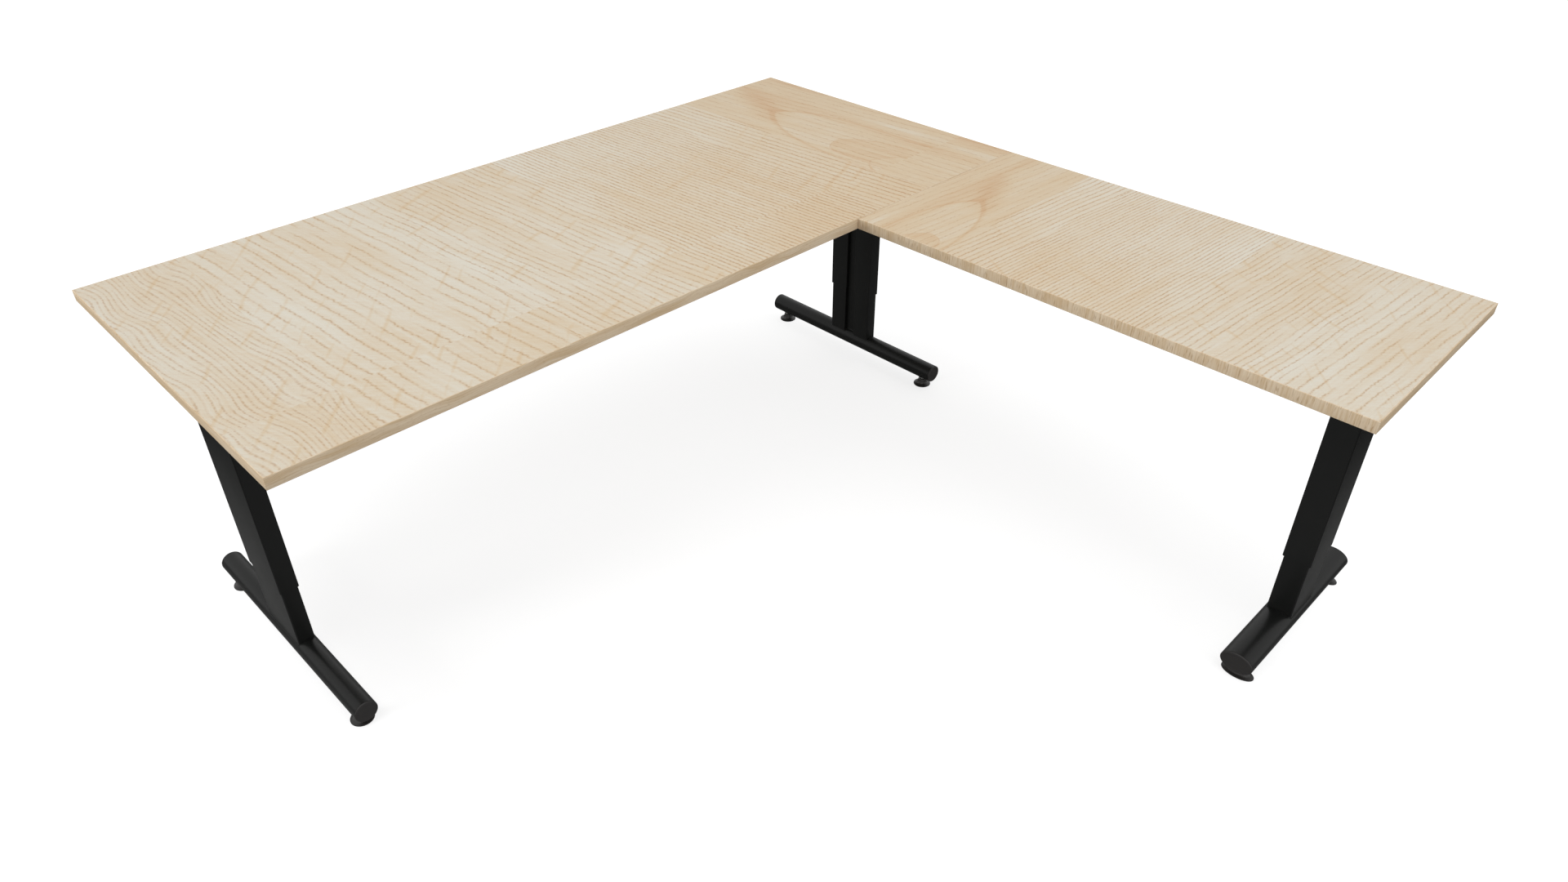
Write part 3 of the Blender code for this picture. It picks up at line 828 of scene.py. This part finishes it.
def add_glide(name, end, plastic, zinc):
    """One levelling glide: a moulded pad on a threaded stud, and the flanged insert it screws into."""
    foot = f"{name}_foot"
    glide = f"{name}_glide_{end}"
    node = f"{name}_glide_pad_{end}"
    low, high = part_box(node)
    stud_low, stud_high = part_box(f"{name}_glide_stud_{end}")
    centre = (stud_low + stud_high) / 2
    size = high - low
    rim = max(size.x, size.y) / 2
    stretch = (size.x / 2 / rim, size.y / 2 / rim)
    top = high.z
    profile = [
        (rim * 0.30, 0.0012),
        (rim * 0.72, 0.0010),
        (rim * 0.80, 0.0),
        (rim * 0.96, 0.0),
        (rim, 0.0008),
        (rim, 0.0024),
        (rim * 0.988, 0.0030),
        (rim * 0.955, 0.0033),
        (rim * 0.80, 0.0042),
        (rim * 0.69, 0.0054),
        (rim * 0.61, 0.0075),
        (rim * 0.55, 0.0100),
        (rim * 0.51, 0.0130),
        (rim * 0.48, 0.0160),
        (rim * 0.46, top - 0.0012),
        (rim * 0.43, top),
        (rim * 0.25, top),
    ]
    shape = bmesh.new()
    turned(shape, profile, PAD_STEPS, stretch)
    place = Matrix.Translation((centre.x, centre.y, 0))
    new_piece(f"{name}_pad_{end}", glide, plastic, [node], shape, place, SHARP_PAD)

    node = f"{name}_glide_stud_{end}"
    radius = (stud_high.x - stud_low.x) / 2
    rows = int((stud_high.z - stud_low.z) / THREAD_PITCH * THREAD_ROWS_PER_TURN)
    rings = []
    for row in range(rows + 1):
        z = stud_low.z + (stud_high.z - stud_low.z) * row / rows
        ends = min(1.0, row / THREAD_ROWS_PER_TURN, (rows - row) / THREAD_ROWS_PER_TURN)
        ring = []
        for step in range(THREAD_STEPS):
            turns = (z - stud_low.z) / THREAD_PITCH - step / THREAD_STEPS
            groove = abs(turns % 1.0 - 0.5) * 2
            reach = radius - THREAD_DEPTH + THREAD_DEPTH * ends * (1 - groove)
            angle = 2 * math.pi * step / THREAD_STEPS
            ring.append((reach * math.cos(angle), reach * math.sin(angle), z))
        rings.append(ring)
    shape = bmesh.new()
    loft(shape, rings)
    new_piece(f"{name}_stud_{end}", glide, zinc, [node], shape, place, SHARP_THREAD)

    node = f"{name}_glide_insert_{end}"
    low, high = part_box(node)
    flange = (high.x - low.x) / 2
    body = flange - INSERT_FLANGE
    thread = radius + STUD_CLEARANCE
    rings = []
    for ring_radius, z, knurled in (
        (thread + SMALL_CHAMFER, low.z, False),
        (flange - SMALL_CHAMFER, low.z, False),
        (flange, low.z + SMALL_CHAMFER, False),
        (flange, low.z + 0.0016, False),
        (flange - 0.0003, low.z + 0.0020, False),
        (body, low.z + 0.0022, True),
        (body, high.z - 0.0006, True),
        (body - 0.0006, high.z, False),
        (thread + SMALL_CHAMFER, high.z, False),
        (thread, high.z - SMALL_CHAMFER, False),
        (thread, low.z + SMALL_CHAMFER, False),
    ):
        ring = []
        for step in range(2 * KNURLS):
            reach = ring_radius - (KNURL_DEPTH if knurled and step % 2 else 0.0)
            angle = math.pi * step / KNURLS
            ring.append((reach * math.cos(angle), reach * math.sin(angle), z))
        rings.append(ring)
    shape = bmesh.new()
    loft(shape, rings, closed=True)
    new_piece(f"{name}_insert_{end}", foot, zinc, [node], shape, place, SHARP_SMALL)


def screw_shape(head, height, shank, length, hexagon=HEX_RADIUS):
    """A domed screw with a hexagon socket. Its head stands on z = 0 and its shank runs down."""
    rings = []
    for radius, z in (
        (shank - 0.0005, -length),
        (shank, -length + 0.0005),
        (shank, -0.0002),
        (head - 0.0002, 0.0),
        (head, 0.0003),
        (head, height * 0.35),
        (head * 0.95, height * 0.62),
        (head * 0.86, height * 0.84),
        (head * 0.74, height * 0.96),
        (head * 0.66, height),
    ):
        rings.append([(x, y, z) for x, y in oval(radius, radius, SCREW_STEPS)])
    for scale, z in ((1.0, height), (0.96, height - 0.0003), (0.96, height * 0.35)):
        ring = []
        for step in range(SCREW_STEPS):
            angle = 2 * math.pi * step / SCREW_STEPS
            reach = hexagon * scale * math.cos(math.pi / 6) / math.cos(angle % (math.pi / 3) - math.pi / 6)
            ring.append((reach * math.cos(angle), reach * math.sin(angle), z))
        rings.append(ring)
    shape = bmesh.new()
    loft(shape, rings)
    return shape


def add_clamp_screw(name, zinc):
    """Sits in the sleeve's narrow side and holds the column at its height."""
    node = f"{name}_clamp_screw"
    low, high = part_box(node)
    middle = (low + high) / 2
    radius = (high.z - low.z) / 2
    size = high - low
    outward = Vector((1, 0, 0)) if size.x < size.y else Vector((0, 1, 0))
    reach = min(size.x, size.y)
    shape = screw_shape(radius, CLAMP_HEAD, CLAMP_SHANK, reach - CLAMP_HEAD)
    base = middle + outward * (reach / 2 - CLAMP_HEAD)
    place = Matrix.Translation(base) @ outward.to_track_quat("Z", "Y").to_matrix().to_4x4()
    new_piece(f"{name}_height_screw", "desk_frame", zinc, [node], shape, place, SHARP_SMALL)


def add_guide(name, plastic):
    """The slide collar on the column's top end: ribbed outside, open inside."""
    node = f"{name}_column_guide"
    low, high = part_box(node)
    thickness, width = local_size(name, f"{name}_outer_sleeve")
    channel = LEGS[name]["channel"]
    rings = []
    for inset, z in (
        (0.0006, low.z),
        (0.0, low.z + 0.0008),
        (0.0, low.z + 0.0060),
        (0.0005, low.z + 0.0066),
        (0.0005, low.z + 0.0084),
        (0.0, low.z + 0.0090),
        (0.0, high.z - 0.0008),
        (0.0006, high.z),
        (0.0034, high.z),
        (0.0036, high.z - 0.0004),
        (0.0036, low.z + 0.0004),
        (0.0034, low.z),
    ):
        outline = leg_outline(thickness, width, channel, SLEEVE_WALL + SLIDE_CLEARANCE + inset)
        rings.append([(x, y, z) for x, y in outline])
    shape = bmesh.new()
    loft(shape, rings, closed=True)
    place = leg_matrix(name)
    new_piece(f"{name}_guide_collar", f"{name}_foot", plastic, [node], shape, place)


def add_sleeve_weld(name, paint):
    """The painted weld that runs round the sleeve where it meets its support arm."""
    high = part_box(f"{name}_outer_sleeve")[1]
    thickness, width = local_size(name, f"{name}_outer_sleeve")
    channel = LEGS[name]["channel"]
    rings = []
    for outset, down in ((0.0001, 2.0), (0.25, 1.2), (0.6, 0.7), (1.2, 0.25), (2.0, 0.0), (0.0001, 0.0)):
        outline = leg_outline(thickness, width, channel, -outset * WELD_SIZE)
        rings.append([(x, y, high.z - down * WELD_SIZE) for x, y in outline])
    shape = bmesh.new()
    loft(shape, rings, closed=True)
    new_piece(f"{name}_sleeve_weld", "desk_frame", paint, [], shape, leg_matrix(name))


def add_column_weld(name, paint):
    """The painted weld in the joint between the column and its foot tube."""
    node = f"{name}_inner_column"
    thickness, width = local_size(name, node)
    channel = LEGS[name]["channel"] + 2 * CHANNEL_MARGIN
    height = foot_surface(name)
    rings = []
    for outset, up in ((0.0, 1.4), (0.15, 0.8), (0.5, 0.35), (1.2, 0.12), (1.2, -0.2), (0.0, -0.2)):
        outline = leg_outline(thickness, width, channel, -outset * WELD_SIZE)
        rings.append([(x, y, height(x) + up * WELD_SIZE) for x, y in outline])
    shape = bmesh.new()
    loft(shape, rings, closed=True)
    new_piece(f"{name}_column_weld", f"{name}_foot", paint, [], shape, leg_matrix(name))


def add_bar(node, paint, plastic, plugged):
    """A rounded box tube the size of its CAD node and, when plugged, a ribbed plastic plug in each open end.
    """
    low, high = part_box(node)
    middle = (low + high) / 2
    size = high - low
    width = min(size.x, size.y)
    half_length = max(size.x, size.y) / 2
    outline = box_outline(width, size.z, BAR_CORNER)
    inner = box_outline(width - 2 * BAR_WALL, size.z - 2 * BAR_WALL, BAR_CORNER - BAR_WALL)
    turn = math.pi / 2 if size.x > size.y else 0.0
    lying = Matrix.Rotation(turn, 4, "Z") @ Matrix.Rotation(math.pi / 2, 4, "X")
    place = Matrix.Translation(middle) @ lying
    shape = bmesh.new()
    loft(shape, tube_rings(outline, inner, -half_length, half_length), closed=True)
    new_piece(f"{node}_tube", "desk_frame", paint, [node], shape, place)
    if not plugged:
        return
    for end, sign in (("a", -1), ("b", 1)):
        rings = []
        for inset, depth in (
            (0.0100, 0.0010),
            (0.0040, 0.0009),
            (0.0030, 0.0003),
            (0.0012, 0.0002),
            (0.0003, 0.0008),
            (0.0003, 0.0060),
            (0.0006, 0.0064),
            (0.0006, 0.0100),
            (0.0003, 0.0104),
            (0.0003, 0.0150),
            (0.0012, PLUG_DEPTH),
            (0.0090, PLUG_DEPTH),
        ):
            inside_width = width - 2 * (BAR_WALL + inset)
            inside_height = size.z - 2 * (BAR_WALL + inset)
            ring = box_outline(inside_width, inside_height, BAR_CORNER - BAR_WALL)
            rings.append([(x, y, sign * (half_length - depth)) for x, y in ring])
        shape = bmesh.new()
        loft(shape, rings)
        new_piece(f"{node}_end_plug_{end}", "desk_frame", plastic, [], shape, place)


def add_bar_screws(node, zinc, count):
    """Pan heads under a bar, spread along it, where it is screwed up into the top."""
    low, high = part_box(node)
    size = high - low
    for index in range(count):
        part = (index + 0.5) / count
        x = low.x + size.x * (part if size.x > size.y else 0.5)
        y = low.y + size.y * (0.5 if size.x > size.y else part)
        shape = screw_shape(*BAR_SCREW)
        place = Matrix.Translation((x, y, low.z)) @ Matrix.Rotation(math.pi, 4, "X")
        name = f"{node}_screw_{index + 1}"
        new_piece(name, "desk_frame", zinc, [], shape, place, SHARP_SMALL)


def add_seam_plate(node, zinc):
    """A flat plate with rounded corners under the joint of the two tops, held by four screws."""
    low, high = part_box(node)
    middle = (low + high) / 2
    size = high - low
    rings = []
    for inset, z in (
        (SMALL_CHAMFER, low.z),
        (0.0, low.z + SMALL_CHAMFER),
        (0.0, high.z - SMALL_CHAMFER),
        (SMALL_CHAMFER, high.z),
    ):
        outline = box_outline(size.x - 2 * inset, size.y - 2 * inset, PLATE_CORNER - inset)
        rings.append([(x + middle.x, y + middle.y, z) for x, y in outline])
    shape = bmesh.new()
    loft(shape, rings)
    new_piece(f"{node}_steel", "desk_frame", zinc, [node], shape)
    for index, (side_x, side_y) in enumerate(((-1, -1), (1, -1), (-1, 1), (1, 1)), 1):
        shape = screw_shape(*PLATE_SCREW)
        x = middle.x + side_x * size.x * PLATE_SCREW_AT[0]
        y = middle.y + side_y * size.y * PLATE_SCREW_AT[1]
        place = Matrix.Translation((x, y, low.z)) @ Matrix.Rotation(math.pi, 4, "X")
        new_piece(f"{node}_screw_{index}", "desk_frame", zinc, [], shape, place, SHARP_SMALL)


# ---------------------------------------------------------------- studio


def add_studio():
    """A white-looking floor that keeps the desk's shadow and carries a painted pool of light, a white world
    and soft lamps.
    """
    floor_mesh = bpy.data.meshes.new("floor")
    shape = bmesh.new()
    bmesh.ops.create_grid(shape, x_segments=1, y_segments=1, size=FLOOR_REACH)
    bmesh.ops.translate(shape, vec=(0, 0, -FLOOR_DROP), verts=shape.verts)
    shape.to_mesh(floor_mesh)
    shape.free()
    floor = bpy.data.objects.new("floor", floor_mesh)
    bpy.context.scene.collection.objects.link(floor)
    material, shader, x, y, _ = new_material("studio_floor")
    tree = material.node_tree
    shader.inputs["Roughness"].default_value = 1.0
    shader.inputs["Specular IOR Level"].default_value = 0.0
    # Painted pool of light: the floor's colour is grey near the desk's middle and fades to nearly black
    # further out.
    distance = (x * x + y * y).math("SQRT")
    painted_light_pool = distance.ramp(FLOOR_PAINTED_LIGHT_POOL[1], FLOOR_PAINTED_LIGHT_POOL[0])
    shade = painted_light_pool * (FLOOR_SHADE - FLOOR_FAR_SHADE) + FLOOR_FAR_SHADE
    colour = blend_colours(shade, BLACK, WHITE)
    tree.links.new(colour.socket, shader.inputs["Base Color"])
    rays = tree.nodes.new("ShaderNodeLightPath")
    seen = Field(tree, rays.outputs["Is Camera Ray"]).most(Field(tree, rays.outputs["Is Transmission Ray"]))
    shader.inputs["Emission Color"].default_value = WHITE
    tree.links.new((seen * (shade * -1.0 + FLOOR_GLOW)).socket, shader.inputs["Emission Strength"])
    floor_mesh.materials.append(material)
    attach(floor, "left_glide_front")  # the floor stays under the pads as the feet travel

    world = bpy.data.worlds.new("studio")
    bpy.context.scene.world = world
    world.use_nodes = True
    tree = world.node_tree
    rays = tree.nodes.new("ShaderNodeLightPath")
    camera = Field(tree, rays.outputs["Is Camera Ray"])
    glossy = Field(tree, rays.outputs["Is Glossy Ray"])
    through = Field(tree, rays.outputs["Is Transmission Ray"])
    seen = camera.most(glossy).most(through)
    strength = seen * (WORLD_SEEN - WORLD_LIGHT) + WORLD_LIGHT
    background = tree.nodes["Background"]
    background.inputs["Color"].default_value = WHITE
    tree.links.new(strength.socket, background.inputs["Strength"])

    add_soft_lamp(*OVERHEAD_LAMP)
    for fill in FILL_LAMPS:
        add_soft_lamp(*fill).visible_glossy = False


def add_soft_lamp(name, place, size, power):
    """A square area lamp that faces the desk's middle."""
    lamp = bpy.data.lights.new(name, "AREA")
    lamp.shape = "SQUARE"
    lamp.size = size
    lamp.energy = power
    holder = bpy.data.objects.new(name, lamp)
    holder.location = place
    holder.rotation_euler = (-Vector(place)).to_track_quat("-Z", "Y").to_euler()
    bpy.context.scene.collection.objects.link(holder)
    return holder


def add_camera():
    """Looks down at the desk along a diagonal, from its front left."""
    data = bpy.data.cameras.new("camera")
    data.lens = CAMERA_LENS
    data.sensor_width = CAMERA_SENSOR
    data.clip_start, data.clip_end = CAMERA_RANGE
    camera = bpy.data.objects.new("camera", data)
    camera.location = CAMERA_PLACE
    camera.rotation_euler = Vector(CAMERA_AIM).to_track_quat("-Z", "Y").to_euler()
    bpy.context.scene.collection.objects.link(camera)
    bpy.context.scene.camera = camera


# ---------------------------------------------------------------- the desk

# The return top's decor is the main top's, turned a quarter and scaled down. START is a point on the tops
# and DECOR the same point on the decor, both in millimetres.
RETURN_START = (1683.0, 22.0)
RETURN_DECOR = (2000.0, 669.0)
RETURN_SCALE = (0.748, 0.8)
MAIN_OAK = oak_top_material("oak_main_top", lambda x, y: x, lambda x, y: y)
RETURN_OAK = oak_top_material(
    "oak_return_top",
    lambda x, y: (y - RETURN_START[1]) / RETURN_SCALE[0] + RETURN_DECOR[0],
    lambda x, y: (x - RETURN_START[0]) / RETURN_SCALE[1] + RETURN_DECOR[1],
)
EDGE_X = oak_band_material("oak_edge_along_x", False, False)
EDGE_Y = oak_band_material("oak_edge_along_y", True, False)
EDGE_Y_UPRIGHT = oak_band_material("oak_edge_upright_y", True, True)
PAINT = powder_coat_material()
CAP = moulded_plastic_material("cap_plastic", CAP_DARK, CAP_LIGHT, 0.5)
PLASTIC = moulded_plastic_material("glide_plastic", PLASTIC_DARK, PLASTIC_LIGHT, 0.34)
ZINC = zinc_material()

add_camera()
add_studio()
MAIN_EDGES = {"front": EDGE_X, "back": EDGE_X, "left": EDGE_Y, "right": EDGE_Y}
RETURN_EDGES = {"front": EDGE_X, "back": EDGE_X, "left": EDGE_Y_UPRIGHT, "right": EDGE_Y_UPRIGHT}
add_top("main_top", MAIN_OAK, MAIN_EDGES)
add_top("return_top", RETURN_OAK, RETURN_EDGES)
for leg in LEGS:
    add_sleeve(leg, PAINT)
    add_sleeve_weld(leg, PAINT)
    add_clamp_screw(leg, ZINC)
    add_column(leg, PAINT)
    add_column_weld(leg, PAINT)
    add_guide(leg, PLASTIC)
    add_foot(leg, PAINT)
    for side in LEGS[leg]["ends"]:
        add_foot_cap(leg, side, CAP)
        add_glide(leg, side, PLASTIC, ZINC)
    add_bar(f"{leg}_support_arm", PAINT, PLASTIC, True)
    add_bar_screws(f"{leg}_support_arm", ZINC, 4)
for rail in ("front_rail", "rear_rail", "return_rail_left", "return_rail_right"):
    add_bar(rail, PAINT, PLASTIC, False)
    add_bar_screws(rail, ZINC, 3)
for plate in ("seam_plate_left", "seam_plate_right"):
    add_seam_plate(plate, ZINC)

bpy.context.scene.view_settings.view_transform = "Standard"
